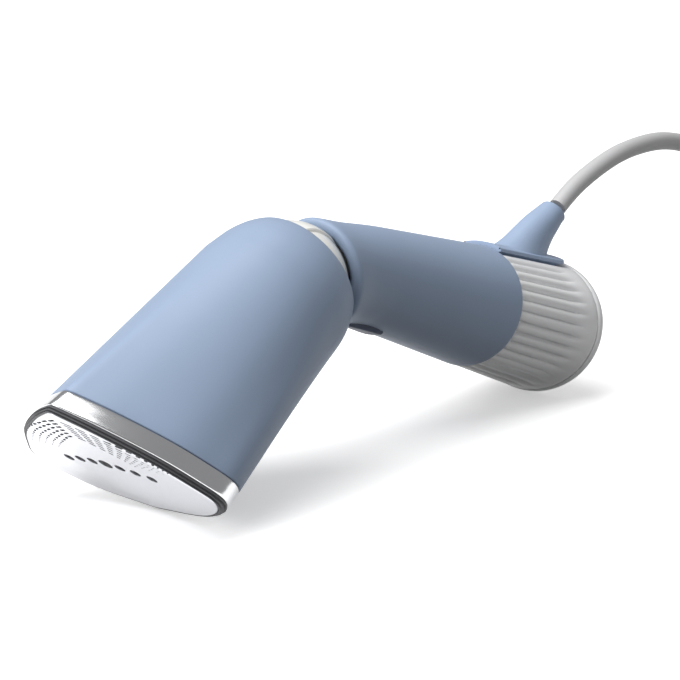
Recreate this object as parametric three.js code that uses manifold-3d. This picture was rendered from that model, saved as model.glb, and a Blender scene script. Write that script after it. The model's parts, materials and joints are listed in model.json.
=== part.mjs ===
// A folding hand-held garment steamer, standing like an arch on the heel of its steam plate and on
// the foot of its water tank. Millimetres, +Z up, origin under the middle of the body.
import * as THREE from "three";
import { mergeVertices } from "three/addons/utils/BufferGeometryUtils.js";
import Module from "manifold-3d";

const wasm = await Module();
wasm.setup();

// ---- Driving dimensions ----------------------------------------------------------------------
const GAP = 0.3; // between pieces that touch
const WALL = 1.9; // moulded shells
const FULL_TURN = 2 * Math.PI;
const DEG = Math.PI / 180;

const HANDLE_SLOPE = 19.660 * DEG; // how far the handle runs downhill from the joint to the tank
const BODY_MIDDLE_X = 24.206; // from the middle of the body to the handle's zero, along the ground
const GROUND_DROP = 76.515; // from the handle's zero down to the ground
const JOINT = { s: 7.9, o: -9.3 }; // the fold axis in the handle's frame
const HEAD_TURN = 43.9 * DEG; // the head's middle line against the handle's cross direction
const MOUTH_TURN = 23.5 * DEG; // the handle's mouth looks this far outwards

const BALL_RADIUS = 21.4;
const SOCKET_RADIUS = 23.5; // the handle's mouth clears the dome
const DOME = [
  // past the fold axis, outer radius, wall: from the dome's open edge to the straight flanks
  [7, 21.95, 1.3], [5.6, 23.3, 1.6], [3, 24.7, 1.9], [0, 25.9, 1.9], [-5, 27.2, 1.9], [-14, 28.3, 1.9],
];
const PIN_POCKET_RADIUS = 6.6;
const PIN_BOSS_RADIUS = 6;

const FACE_DEPTH = 99.2; // from the fold axis to the steam plate, along the head
const FACE_TILT = 22.4 * DEG; // the plate against a square cut through the head
const BAND_FOOT = 2.8; // the bright band, above the plate's face
const BAND_TOP = 10;

const SLEEVE_END = 111;
const TANK_END = 155;
const FOOT_END = 158.5;

const HOLE_PITCH = 6.16;
const HOLE_RADIUS = 1.98;
const MIDDLE_HOLE_RADIUS = 2.6;

const CORD_RADIUS = 3.5;
const CORD_SIDES = 8;
const COIL = { x: 345, y: 16, middle: 38.5, wide: 14, high: 21 };

// ---- Small helpers ---------------------------------------------------------------------------
const lerp = THREE.MathUtils.lerp;

function material(color, roughness, metalness = 0) {
  return new THREE.MeshStandardMaterial({ color, roughness, metalness });
}
const FINISH = {
  shell: material(0x8ea3c6, 0.45),
  pearl: material(0xe4e4e0, 0.2),
  chrome: material(0xd9dade, 0.12, 1),
  alloy: material(0xb9bcc2, 0.35, 1),
  casting: material(0x8c8f94, 0.6, 1),
  graphite: material(0x3a4048, 0.6),
  navy: material(0x24344f, 0.4),
  tank: material(0xc4c6c8, 0.3),
  rubber: material(0x2a2c2f, 0.8),
  white: material(0xd8d8d4, 0.5),
  brass: material(0xb59a5a, 0.35, 1),
  steel: material(0xa9adb2, 0.3, 1),
  board: material(0x2f5c46, 0.6),
  cord: material(0xbababa, 0.6),
};

// A closed geometry as a manifold-3d solid with its faces pointing out.
function solid(geometry) {
  const bare = geometry.clone();
  bare.deleteAttribute("normal");
  bare.deleteAttribute("uv");
  const merged = mergeVertices(bare, 1e-3);
  const vertProperties = merged.attributes.position.array;
  const triVerts = new Uint32Array(merged.index.array);
  const made = new wasm.Manifold(new wasm.Mesh({ numProp: 3, vertProperties, triVerts }));
  if (made.volume() > 0) return made;
  for (let i = 0; i < triVerts.length; i += 3) {
    [triVerts[i + 1], triVerts[i + 2]] = [triVerts[i + 2], triVerts[i + 1]];
  }
  return new wasm.Manifold(new wasm.Mesh({ numProp: 3, vertProperties, triVerts }));
}

function geometryOf(made) {
  const mesh = made.getMesh();
  const points = new Float32Array(mesh.numVert * 3);
  for (let i = 0; i < mesh.numVert; i++) {
    points.set(mesh.vertProperties.subarray(i * mesh.numProp, i * mesh.numProp + 3), i * 3);
  }
  const geometry = new THREE.BufferGeometry();
  geometry.setAttribute("position", new THREE.BufferAttribute(points, 3));
  geometry.setIndex(new THREE.BufferAttribute(mesh.triVerts, 1));
  geometry.computeVertexNormals();
  return geometry;
}

function add(group, name, made, finish) {
  const mesh = new THREE.Mesh(geometryOf(made), finish);
  mesh.name = name;
  group.add(mesh);
  return mesh;
}

// Turns a profile round an axis, then puts each of its points where pointAt says.
function turned(profile, segments, pointAt) {
  const outline = profile.map((p) => new THREE.Vector2(p.axis ? 0 : 1, 0));
  const lathe = new THREE.LatheGeometry(outline, segments);
  const position = lathe.attributes.position;
  for (let k = 0; k < position.count; k++) {
    const turn = ((Math.floor(k / profile.length) % segments) / segments) * FULL_TURN;
    const p = pointAt(profile[k % profile.length], turn);
    position.setXYZ(k, p.x, p.y, p.z);
  }
  return solid(lathe);
}

function box(x0, x1, y0, y1, z0, z1) {
  const geometry = new THREE.BoxGeometry(x1 - x0, y1 - y0, z1 - z0);
  return solid(geometry.translate((x0 + x1) / 2, (y0 + y1) / 2, (z0 + z1) / 2));
}

// A round bar from one point to another.
function bar(from, to, radius, sides = 16, endRadius = radius) {
  const a = new THREE.Vector3(...from);
  const b = new THREE.Vector3(...to);
  const along = b.clone().sub(a);
  const geometry = new THREE.CylinderGeometry(endRadius, radius, along.length(), sides);
  const turn = new THREE.Quaternion().setFromUnitVectors(
    new THREE.Vector3(0, 1, 0),
    along.clone().normalize(),
  );
  geometry.applyQuaternion(turn);
  geometry.translate(...a.add(b).multiplyScalar(0.5).toArray());
  return solid(geometry);
}

// A block with a rounded outline in X and Y, between two heights.
function slab(cx, cy, length, width, corner, z0, z1) {
  const [x, y] = [length / 2 - corner, width / 2 - corner];
  const shape = new THREE.Shape();
  shape.absarc(x, y, corner, 0, Math.PI / 2);
  shape.absarc(-x, y, corner, Math.PI / 2, Math.PI);
  shape.absarc(-x, -y, corner, Math.PI, 1.5 * Math.PI);
  shape.absarc(x, -y, corner, 1.5 * Math.PI, FULL_TURN);
  const geometry = new THREE.ExtrudeGeometry(shape, {
    depth: z1 - z0,
    bevelEnabled: false,
    curveSegments: 5,
  });
  return solid(geometry.translate(cx, cy, z0));
}

// A rod swept along points, closed at both ends.
function rod(points, radius, sides, steps) {
  const section = new THREE.Shape();
  section.absarc(0, 0, radius, 0, FULL_TURN);
  const path = new THREE.CatmullRomCurve3(points.map((p) => new THREE.Vector3(...p)));
  return new THREE.ExtrudeGeometry(section, {
    extrudePath: path,
    steps,
    curveSegments: sides,
    bevelEnabled: false,
  });
}

// ---- Groups ----------------------------------------------------------------------------------
// Handle frame: X along the handle towards the tank, Z towards the outside of the bend.
// Head frame: zero on the fold axis, Z from the plate to the joint, X towards the plate's heel.
// Face frame: zero on the plate, Z into the head, X towards the heel.
const steamer = new THREE.Group();
steamer.name = "garment_steamer";
const handle = new THREE.Group();
handle.position.set(-BODY_MIDDLE_X, 0, GROUND_DROP);
handle.rotation.y = HANDLE_SLOPE;
steamer.add(handle);
const head = new THREE.Group();
head.position.set(JOINT.s, 0, JOINT.o);
head.rotation.y = HEAD_TURN;
handle.add(head);
const face = new THREE.Group();
face.position.set(0, 0, -FACE_DEPTH);
face.rotation.y = -FACE_TILT;
head.add(face);

// ---- Handle surface --------------------------------------------------------------------------
const STATIONS = [
  // along, middle height, lean of the section, half height, half width
  [21.7, -3.3, MOUTH_TURN, 18.9, 18.9],
  [22.8, -3.1, 22.5 * DEG, 19.3, 19.3],
  [25.5, -2.7, 20 * DEG, 19.0, 19.0],
  [31, -1.9, 14 * DEG, 17.9, 17.9],
  [38, -1.0, 7 * DEG, 17.7, 17.7],
  [47, -0.1, 0, 17.95, 17.95],
  [111, 0.1, 0, 22.5, 24.4],
  [158.5, 0.1, 0, 25.4, 29.4],
];

function handleSection(s) {
  let next = 1;
  while (next < STATIONS.length - 1 && s > STATIONS[next][0]) next += 1;
  const [a, b] = [STATIONS[next - 1], STATIONS[next]];
  const t = (s - a[0]) / (b[0] - a[0]);
  const [middle, lean, high, wide] = [1, 2, 3, 4].map((k) => lerp(a[k], b[k], t));
  return { middle, lean, high, wide };
}

function handlePoint(s, inset, turn) {
  const { middle, lean, high, wide } = handleSection(s);
  const up = (high - inset) * Math.cos(turn);
  const across = (wide - inset) * Math.sin(turn);
  return new THREE.Vector3(s - up * Math.sin(lean), across, middle + up * Math.cos(lean));
}

// Each entry is [along, inset], or [along] where the profile meets the middle line.
function handleTurned(entries, segments = 36) {
  const profile = entries.map(([s, inset]) => ({ s, inset, axis: inset === undefined }));
  return turned(profile, segments, ({ s, inset, axis }, turn) =>
    axis ? new THREE.Vector3(s, 0, handleSection(s).middle) : handlePoint(s, inset, turn),
  );
}

// ---- Head surface ----------------------------------------------------------------------------
// Half of the plate's outline from its tip to its heel, as [towards the heel, across].
const HALF_OUTLINE = [
  [-36, 0], [-34.8, 2.6], [-26.6, 14.4], [-12.5, 29.6], [0, 38.0], [9.5, 42.2],
  [18, 39.2], [25.5, 30.6], [30, 18.6], [33, 0],
];
const OUTLINE_POINTS = 48;

function plateOutline() {
  const curve = new THREE.SplineCurve(HALF_OUTLINE.map(([x, y]) => new THREE.Vector2(x, y)));
  const half = curve.getSpacedPoints(OUTLINE_POINTS / 2);
  const mirrored = half.slice(1, -1).reverse().map((p) => new THREE.Vector2(p.x, -p.y));
  return [...half, ...mirrored];
}
const OUTLINE = plateOutline();
const INTO_HEAD = new THREE.Vector3(-Math.sin(FACE_TILT), 0, Math.cos(FACE_TILT));
const TO_HEEL = new THREE.Vector3(Math.cos(FACE_TILT), 0, Math.sin(FACE_TILT));

function roundHead(z, radius, turn) {
  return new THREE.Vector3(-radius * Math.cos(turn), radius * Math.sin(turn), z);
}

function headPoint({ plane, loft, z, radius, inset }, turn) {
  const j = Math.round((turn / FULL_TURN) * OUTLINE_POINTS) % OUTLINE_POINTS;
  const foot = new THREE.Vector3(0, OUTLINE[j].y, -FACE_DEPTH).addScaledVector(TO_HEEL, OUTLINE[j].x);
  const [flankTop, flankRadius] = DOME[DOME.length - 1];
  const ruling = roundHead(flankTop, flankRadius, turn).sub(foot);
  if (z !== undefined) return roundHead(z, radius, turn);
  const share = plane === undefined ? loft : plane / ruling.dot(INTO_HEAD);
  const outAtFoot = TO_HEEL.clone().multiplyScalar(OUTLINE[j].x).setY(OUTLINE[j].y).normalize();
  const out = outAtFoot.lerp(roundHead(0, 1, turn), plane === undefined ? loft : 0).normalize();
  return foot.addScaledVector(ruling, share).addScaledVector(out, -inset);
}

function headTurned(profile) {
  return turned(profile, OUTLINE_POINTS, (entry, turn) => headPoint(entry, turn));
}

// A plate of the outline's form in the face frame.
function faceSlab(z0, z1, inset, drift = 0, holes = []) {
  const points = OUTLINE.map((p) => p.clone().multiplyScalar(1 - inset / p.length()));
  const shape = new THREE.Shape(points);
  shape.holes.push(...holes);
  const depth = z1 - z0;
  const geometry = new THREE.ExtrudeGeometry(shape, { depth, bevelEnabled: false, curveSegments: 8 });
  return solid(geometry.translate(drift, 0, z0));
}

function faceRing(z0, z1, inset0, inset1, drift = 0) {
  return faceSlab(z0, z1, inset0, drift).subtract(faceSlab(z0 - 1, z1 + 1, inset1, drift));
}

// ---- Head ------------------------------------------------------------------------------------
function headShell() {
  const outside = DOME.map(([z, radius]) => ({ z, radius }));
  const inside = DOME.map(([z, radius, wall]) => ({ z, radius: radius - wall })).reverse();
  const shell = headTurned([
    ...outside,
    { loft: 0.5, inset: 0 },
    { plane: BAND_TOP + GAP, inset: 0 },
    { plane: BAND_TOP + GAP, inset: WALL },
    { loft: 0.5, inset: WALL },
    ...inside,
    outside[0],
  ]);
  return shell.add(pinBoss(1)).add(pinBoss(-1));
}

// A stepped boss that stays inside the dome's curve.
function pinBoss(side) {
  const boss = bar([0, side * 16, 0], [0, side * 22.4, 0], PIN_BOSS_RADIUS, 24)
    .add(bar([0, side * 22, 0], [0, side * 24.2, 0], 3.5, 24));
  return boss.subtract(bar([0, side * 15, 0], [0, side * 20.2, 0], 3.3, 20));
}

function trimBand() {
  return headTurned([
    { plane: BAND_TOP, inset: 0 },
    { plane: BAND_FOOT + 0.6, inset: 0 },
    { plane: BAND_FOOT, inset: 0.6 },
    { plane: BAND_FOOT, inset: 3 },
    { plane: BAND_TOP, inset: 3 },
    { plane: BAND_TOP, inset: 0 },
  ]);
}

function holeRow() {
  const holes = [];
  for (let i = -3; i <= 3; i++) {
    const y = i * HOLE_PITCH;
    holes.push({ x: 0.008 * y * y, y, radius: i ? HOLE_RADIUS : MIDDLE_HOLE_RADIUS });
  }
  return holes;
}

function steamPlate() {
  const holes = holeRow().map(({ x, y, radius }) => {
    const hole = new THREE.Path();
    hole.absarc(x, y, radius, 0, FULL_TURN);
    return hole;
  });
  return faceSlab(0, 1.6, 1.2, 0, holes);
}

function steamChamber() {
  const block = faceSlab(5.4, 20, 10, 6);
  const steamWay = box(-6, 8, -21, 21, 4, 13);
  return block.subtract(steamWay);
}

function heatingElement() {
  const z = 27;
  const side = [[-5, 5, z], [3, 13, z], [14, 18, z], [24, 12, z]];
  const back = side.slice().reverse().map(([x, y]) => [x, -y, z]);
  return solid(rod([...side, [28, 0, z], ...back], 2.6, 5, 22));
}

function buildHead() {
  add(head, "head_shell", headShell(), FINISH.shell);
  add(head, "trim_band", trimBand(), FINISH.chrome);
  add(head, "head_liner", headTurned([
    { loft: 0.86, inset: 2.4 },
    { loft: 0.5, inset: 2.4 },
    { plane: 26, inset: 2.4 },
    { plane: 26, inset: 3.8 },
    { loft: 0.5, inset: 3.8 },
    { loft: 0.86, inset: 3.8 },
    { loft: 0.86, inset: 2.4 },
  ]), FINISH.graphite);
  add(face, "steam_plate", steamPlate(), FINISH.alloy);
  add(face, "plate_gasket", faceRing(1.9, 2.5, 0.4, 6), FINISH.rubber);
  add(face, "gasket_frame", faceRing(2.8, 5.1, 6, 9.5), FINISH.graphite);
  add(face, "steam_chamber", steamChamber(), FINISH.casting);
  add(face, "chamber_lid", faceSlab(20.3, 24, 11, 8), FINISH.casting);
  add(face, "chamber_carrier", faceRing(10.6, 16, 6.4, 9.6, 6), FINISH.graphite);
  add(face, "heating_element", heatingElement(), FINISH.steel);
  add(face, "thermostat", bar([8, 0, 24.3], [8, 0, 31], 6.5, 20), FINISH.steel);
  add(face, "thermal_fuse", bar([8, -7, 33], [8, 7, 33], 1.6, 10), FINISH.brass);
  add(face, "steam_inlet", bar([19.5, 0, 24.3], [19.5, 0, 38], 3, 12), FINISH.brass);
  const lidScrews = [[-12, 0], [15, 25.5], [15, -25.5]];
  for (const [i, [x, y]] of lidScrews.entries()) {
    add(face, "lid_screw_" + (i + 1), bar([x, y, 24.3], [x, y, 26.3], 2, 10), FINISH.steel);
  }
  const hose = [[19.5, 0, 38.4], [20.5, 0, 47], [25, 0, 58], [28, 0, 67.5]];
  add(face, "head_hose", solid(rod(hose, 2.6, 4, 12)), FINISH.white);
}

// ---- Knuckle, fixed in the handle's mouth ----------------------------------------------------
const MOUTH_WAY = [Math.cos(MOUTH_TURN), 0, Math.sin(MOUTH_TURN)];

function fromJoint(way, distance) {
  return [JOINT.s + way[0] * distance, 0, JOINT.o + way[2] * distance];
}

function ballAtJoint(radius, segments = 28) {
  const geometry = new THREE.SphereGeometry(radius, segments, segments / 2);
  return solid(geometry.translate(JOINT.s, 0, JOINT.o));
}

function knuckle() {
  let made = ballAtJoint(BALL_RADIUS);
  made = made.add(bar(fromJoint(MOUTH_WAY, 10), fromJoint(MOUTH_WAY, 23), 12, 28));
  made = made.add(bar([26, 0, 0], [36, 0, 0], 9.5, 28));
  made = made.subtract(ballAtJoint(BALL_RADIUS - 3, 20));
  made = made.subtract(bar(fromJoint(MOUTH_WAY, 10), fromJoint(MOUTH_WAY, 22), 9.5, 24));
  made = made.subtract(bar([24, 0, 0], [41, 0, 0], 7.8, 24));
  for (const side of [1, -1]) {
    const { s, o } = JOINT;
    const cup = bar([s, side * 10, o], [s, side * 18, o], 9.4, 28);
    const pocket = bar([s, side * 15.6, o], [s, side * 24, o], PIN_POCKET_RADIUS, 28);
    made = made.add(cup).subtract(pocket);
    made = made.subtract(bar([s, side * 8, o], [s, side * 17, o], 3.3, 20));
  }
  // The slot that the hose and the heater's wires pass through, out of sight inside the dome.
  for (const degrees of [175, 203, 231]) {
    const way = [Math.cos(degrees * DEG), 0, Math.sin(degrees * DEG)];
    made = made.subtract(bar(fromJoint(way, 8), fromJoint(way, 24), 6.5, 12));
  }
  return made;
}

// ---- Handle ----------------------------------------------------------------------------------
const TRIGGER = { middle: 45.5, long: 23, wide: 14, proud: 1.5 };
const SADDLE_END = 154.4;
const SADDLE_HALF_TURN = 21 * DEG;

function handleSleeve() {
  const sleeve = handleTurned([
    [21.7, 0], [22.8, 0], [25.5, 0], [31, 0], [38, 0], [47, 0], [SLEEVE_END, 0],
    [SLEEVE_END, WALL], [47, WALL], [38, WALL], [31, WALL], [22.2, WALL], [21.7, 0.9], [21.7, 0],
  ]);
  const slot = slab(TRIGGER.middle, 0, TRIGGER.long + 0.8, TRIGGER.wide + 0.8, 5, -24, -10);
  return sleeve.subtract(ballAtJoint(SOCKET_RADIUS, 36)).subtract(slot);
}

function trigger() {
  const { middle, long, wide, proud } = TRIGGER;
  const bottom = -handleSection(middle).high - 0.1 - proud;
  const body = slab(middle, 0, long, wide, 4.8, bottom + 0.7, -12.6);
  const cap = slab(middle, 0, long - 1.6, wide - 1.6, 4.2, bottom, bottom + 0.8);
  return body.add(cap).subtract(box(30, 37, -8, 8, -15.5, -9));
}

function chassis() {
  const web = box(43, 90, -1.5, 1.5, -8, 13).add(box(89, 97, -1.5, 1.5, 7, 13));
  const hoops = [];
  for (const at of [43, 94]) {
    const hoop = handleTurned([[at], [at, WALL + 0.4], [at + 3, WALL + 0.4], [at + 3]], 32);
    const opening = box(at - 1, at + 4, -10.5, 10.5, -30, 7);
    hoops.push(hoop.subtract(opening));
  }
  return web.add(hoops[0]).add(hoops[1]).subtract(box(40, 60, -9, 9, -30, -8));
}

// A thin wall across the handle that the tank docks against.
function tankDock() {
  const wall = handleTurned([[98], [98, WALL + 0.4], [100.5, WALL + 0.4], [100.5]], 32);
  const socket = bar([100.4, 0, -4], [105.5, 0, -4], 5.2, 18);
  return wall.add(socket).subtract(bar([96, 0, -4], [108, 0, -4], 2.8, 14));
}

// A strip of the handle's skin over the outside of the bend.
function strip(s0, s1, inset0, inset1, halfTurn) {
  const block = new THREE.BoxGeometry(1, 1, 1, 4, 8, 1);
  const position = block.attributes.position;
  for (let k = 0; k < position.count; k++) {
    const s = lerp(s0, s1, position.getX(k) + 0.5);
    const turn = position.getY(k) * 2 * halfTurn;
    const inset = lerp(inset0, inset1, position.getZ(k) + 0.5);
    const p = handlePoint(s, inset, turn);
    position.setXYZ(k, p.x, p.y, p.z);
  }
  return solid(block);
}

const SPUR = [
  // back edge s and o, front edge s and o, half thickness
  [120.5, 22.0, 150.6, 23.6, 9.2],
  [125.5, 26.2, 149.9, 26.6, 8.0],
  [131.0, 31.6, 150.6, 30.6, 6.9],
  [137.0, 37.6, 152.0, 34.6, 6.1],
  [142.4, 42.4, 153.6, 37.8, 5.5],
  [146.4, 46.0, 154.9, 39.4, 5.0],
];
const SPUR_TIP = new THREE.Vector3(150.9, 0, 42.7);
const SPUR_WAY = new THREE.Vector3(0.647, 0, 0.762).normalize();

function cordSpur() {
  const rings = SPUR.map(([s0, o0, s1, o1, thick]) => ({ s0, o0, s1, o1, thick }));
  const ends = [{ ...rings[0], axis: true }, { ...rings[rings.length - 1], axis: true }];
  const fin = turned([ends[0], ...rings, ends[1]], 24, ({ s0, o0, s1, o1, thick, axis }, turn) => {
    const r = axis ? 0 : 1;
    const along = 0.5 - 0.5 * r * Math.cos(turn);
    return new THREE.Vector3(lerp(s0, s1, along), r * thick * Math.sin(turn), lerp(o0, o1, along));
  });
  const saddle = strip(SLEEVE_END + GAP, SADDLE_END, 0, 2.6, SADDLE_HALF_TURN);
  const tail = strip(100.9, SLEEVE_END + 1, WALL + GAP, 3, 18 * DEG);
  const step = strip(SLEEVE_END + GAP, SLEEVE_END + 1.5, 1, 3, 18 * DEG);
  const start = SPUR_TIP.clone().addScaledVector(SPUR_WAY, -12).toArray();
  const end = SPUR_TIP.clone().addScaledVector(SPUR_WAY, 8).toArray();
  return saddle.add(fin).add(tail).add(step).subtract(bar(start, end, CORD_RADIUS + 0.35, 16));
}

function buildHandle() {
  add(handle, "handle_sleeve", handleSleeve(), FINISH.shell);
  add(handle, "knuckle", knuckle(), FINISH.pearl);
  const { s, o } = JOINT;
  add(handle, "hinge_pin_near", bar([s, -19.9, o], [s, -11, o], 3, 16), FINISH.steel);
  add(handle, "hinge_pin_far", bar([s, 11, o], [s, 19.9, o], 3, 16), FINISH.steel);
  add(handle, "chassis", chassis(), FINISH.white);
  add(handle, "pump_body", bar([62, 9.5, 0], [84, 9.5, 0], 6.5, 20), FINISH.white);
  add(handle, "pump_coil", tubeAlong([66, 9.5, 0], [80, 9.5, 0], 8, 6.8), FINISH.brass);
  add(handle, "pump_outlet", bar([52, 8.5, 0], [61.7, 8.5, 0], 2.2, 12), FINISH.white);
  const outHose = [[51.6, 8.5, 0], [45, 7.5, 0], [38, 3, 0], [30, 0, 0], [20, 0, -5], [12, 0, -9]];
  add(handle, "water_hose", solid(rod(outHose, 2.2, 4, 14)), FINISH.white);
  const inHose = [[84.9, 9.5, 0], [89, 8.6, -1], [93.5, 2.5, -3.4], [97.2, 0, -4]];
  add(handle, "inlet_hose", solid(rod(inHose, 2.2, 4, 10)), FINISH.white);
  add(handle, "control_board", box(56, 88, -8.6, -7, -8, 10), FINISH.board);
  add(handle, "micro_switch", box(48, 60, -3.6, 3.6, -10.3, -8.3), FINISH.graphite);
  add(handle, "trigger", trigger(), FINISH.navy);
  add(handle, "trigger_spring", bar([41, 0, -12.3], [41, 0, -10.4], 2.4, 12), FINISH.steel);
  add(handle, "tank_dock", tankDock(), FINISH.white);
  add(handle, "dock_seal", tubeAlong([105.8, 0, -4], [107.2, 0, -4], 5, 2.9), FINISH.rubber);
  add(handle, "cord_spur", cordSpur(), FINISH.shell);
  add(handle, "cord_clamp", box(102, 108, -5, 5, 12.5, 15.5), FINISH.graphite);
  for (const [i, y] of [-5, 5].entries()) {
    add(handle, "chassis_screw_" + (i + 1), bar([89, y, 15], [93.7, y, 15], 1.5, 10), FINISH.steel);
  }
}

function tubeAlong(from, to, outer, inner) {
  const way = new THREE.Vector3(...to).sub(new THREE.Vector3(...from)).normalize();
  const start = new THREE.Vector3(...from).sub(way).toArray();
  const end = new THREE.Vector3(...to).add(way).toArray();
  return bar(from, to, outer, 20).subtract(bar(start, end, inner, 16));
}

// ---- Water tank ------------------------------------------------------------------------------
const STOPPER_Z = -15;

function tankShell() {
  const front = SLEEVE_END + GAP;
  const tank = handleTurned([
    [front], [front, 0.35], [front + 20, 0.35], [TANK_END - GAP, 0.35],
    [TANK_END - GAP, 2.2], [front + 20, 2.2], [front + 2.6, 2.2], [front + 2.6],
  ]);
  const spigot = handleTurned([
    [108.4, WALL + 0.6], [front + 1, WALL + 0.6], [front + 1, 5.2], [108.4, 5.2], [108.4, WALL + 0.6],
  ], 32);
  const wider = SADDLE_HALF_TURN + 1.2 * DEG;
  const recess = strip(100, TANK_END + 2, -3, 3.3, wider);
  const inner = strip(front, TANK_END - GAP, 3.3, 5.2, wider + 4 * DEG);
  const curbs = strip(front, TANK_END - GAP, 0.6, 4, wider + 4 * DEG)
    .subtract(strip(100, TANK_END + 2, -3, 5.25, wider));
  const valve = bar([106, 0, -4], [front + 4, 0, -4], 2.7, 14);
  const filler = bar([106, 0, STOPPER_Z], [front + 4, 0, STOPPER_Z], 4.2, 16);
  return tank.add(spigot).subtract(recess).add(inner).add(curbs).subtract(valve).subtract(filler);
}

function tankFoot() {
  const cap = handleTurned([
    [TANK_END], [TANK_END, 0.1], [TANK_END + 1.4, 0], [FOOT_END - 0.9, 0.3], [FOOT_END, 1.4], [FOOT_END],
  ]);
  return cap;
}

function buildTank() {
  add(handle, "tank_shell", tankShell(), FINISH.tank);
  add(handle, "tank_foot", tankFoot(), FINISH.tank);
  add(handle, "tank_valve", bar([108, 0, -4], [117.5, 0, -4], 2.4, 12), FINISH.white);
  add(handle, "valve_spring", tubeAlong([118.2, 0, -4], [123, 0, -4], 2.6, 1.4), FINISH.steel);
  add(handle, "filler_stopper", stopper(), FINISH.graphite);
  const dip = [[123.6, 0, -4], [130, 0, -5], [139, 0, -11], [145, 0, -15]];
  add(handle, "suction_tube", solid(rod(dip, 1.9, 4, 10)), FINISH.white);
  add(handle, "tube_weight", bar([146.2, 0, -15], [151, 0, -15], 3.4, 14), FINISH.brass);
}

function stopper() {
  const z = STOPPER_Z;
  return bar([106.6, 0, z], [107.9, 0, z], 5, 16).add(bar([107.8, 0, z], [114, 0, z], 3.8, 16));
}

// ---- Cord, in the ground's frame -------------------------------------------------------------
const CORD_ROUTE = [
  [129.2, 0, 64.4], [134.5, 0, 67.4], [139.7, 0, 70.7], [145.0, 0, 73.6], [151.0, 0, 76.0],
  [157.2, 0, 78.2], [165.0, 0, 80.5], [172.7, 0, 82.3], [181.8, 0, 83.4], [190.8, 0, 83.8],
  [197.4, 0, 83.7], [204.0, 0, 83.2], [214.0, -0.4, 81.4], [225.0, -1.2, 78.0], [236.0, -2.6, 72.4],
  [246.5, -4.8, 64.8], [256.5, -7.8, 55.0], [266.0, -11.4, 43.8], [275.0, -15.2, 32.2],
  [284.0, -18.8, 21.2], [294.0, -22.2, 12.2], [306.0, -25.2, 6.4], [319.5, -27.4, 4.2],
];

function buildCord() {
  add(steamer, "cord_run", solid(rod(CORD_ROUTE, CORD_RADIUS, CORD_SIDES / 2, 40)), FINISH.cord);
  const inner = COIL.middle - COIL.wide / 2;
  const outer = COIL.middle + COIL.wide / 2;
  const section = [[inner, 0.2], [outer, 0.2], [outer, COIL.high], [inner, COIL.high], [inner, 0.2]];
  const ring = new THREE.LatheGeometry(section.map(([r, z]) => new THREE.Vector2(r, z)), 32);
  ring.rotateX(Math.PI / 2);
  ring.translate(COIL.x, COIL.y, 0);
  add(steamer, "cord_coil", solid(ring), FINISH.cord);
  const { x, y, high } = COIL;
  const tieY = y + COIL.middle;
  const band = box(x - 4, x + 4, tieY - 9.5, tieY + 9.5, 0, high + 2.5);
  add(steamer, "cord_tie", band.subtract(box(x - 5, x + 5, tieY - 8, tieY + 8, -1, high + 0.8)),
    FINISH.graphite);
  const height = 13;
  const plug = bar([x - 22, y, height], [x + 2, y, height], 12.5, 20);
  const tail = bar([x - 26, y, height], [x - 21, y, height], 4, 12, 7);
  add(steamer, "plug_body", plug.add(tail), FINISH.graphite);
  for (const [name, side] of [["plug_pin_1", -9.5], ["plug_pin_2", 9.5]]) {
    add(steamer, name, bar([x + 2.3, y + side, height], [x + 21, y + side, height], 2, 12), FINISH.steel);
  }
}

buildHead();
buildHandle();
buildTank();
buildCord();

export default steamer;
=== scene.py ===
"""A folding hand-held garment steamer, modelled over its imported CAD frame, in metres.

The file is laid out as an add-on: one operator for each group of pieces and one for the stage.
It is run as a script. Local sizes are in millimetres and are turned to metres by the frames below.
"""
import json
from math import cos, hypot, pi, radians, sin, sqrt, tau

import bpy
from bpy.props import FloatProperty, FloatVectorProperty, IntProperty, PointerProperty
from mathutils import Matrix, Vector


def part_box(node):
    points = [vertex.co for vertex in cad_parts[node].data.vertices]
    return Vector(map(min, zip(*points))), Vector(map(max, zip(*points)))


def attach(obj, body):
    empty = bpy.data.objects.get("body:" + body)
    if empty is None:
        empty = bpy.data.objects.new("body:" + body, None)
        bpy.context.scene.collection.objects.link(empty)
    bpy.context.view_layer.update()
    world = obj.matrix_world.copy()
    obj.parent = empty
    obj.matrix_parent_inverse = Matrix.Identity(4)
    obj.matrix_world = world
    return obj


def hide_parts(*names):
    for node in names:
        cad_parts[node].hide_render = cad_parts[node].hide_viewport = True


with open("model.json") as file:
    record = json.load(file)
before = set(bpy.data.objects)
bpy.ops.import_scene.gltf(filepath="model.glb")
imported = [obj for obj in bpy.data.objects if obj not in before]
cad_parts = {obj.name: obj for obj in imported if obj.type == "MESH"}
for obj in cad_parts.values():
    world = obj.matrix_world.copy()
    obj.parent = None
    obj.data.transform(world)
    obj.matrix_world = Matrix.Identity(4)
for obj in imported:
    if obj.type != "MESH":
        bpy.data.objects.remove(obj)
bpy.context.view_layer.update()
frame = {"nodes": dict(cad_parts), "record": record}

bl_info = {
    "name": "Folding garment steamer",
    "version": (1, 0, 0),
    "blender": (4, 5, 0),
    "location": "View3D > Sidebar > Steamer",
    "description": "Builds a folding hand-held garment steamer and its studio stage",
    "category": "Object",
}

MM = 0.001
GAP = 0.3

# ---- Frames of the handle, the head and the steam plate --------------------------------------
RECORD = frame["record"]
JOINTS = {j["name"]: j for j in RECORD["behaviour"]["joints"]}
ALONG = Vector(JOINTS["tank_slide"]["axis"])
OUTWARD = Vector(JOINTS["trigger_press"]["axis"])
LATERAL = Vector((0, 1, 0))
FOLD_POINT = Vector(JOINTS["head_fold"]["pos_m"])
JOINT_S, JOINT_O = 7.9, -9.3  # the fold axis in the handle's frame
HEAD_TURN = radians(43.9)
FACE_DEPTH = 99.2
FACE_TILT = radians(22.4)

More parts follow.
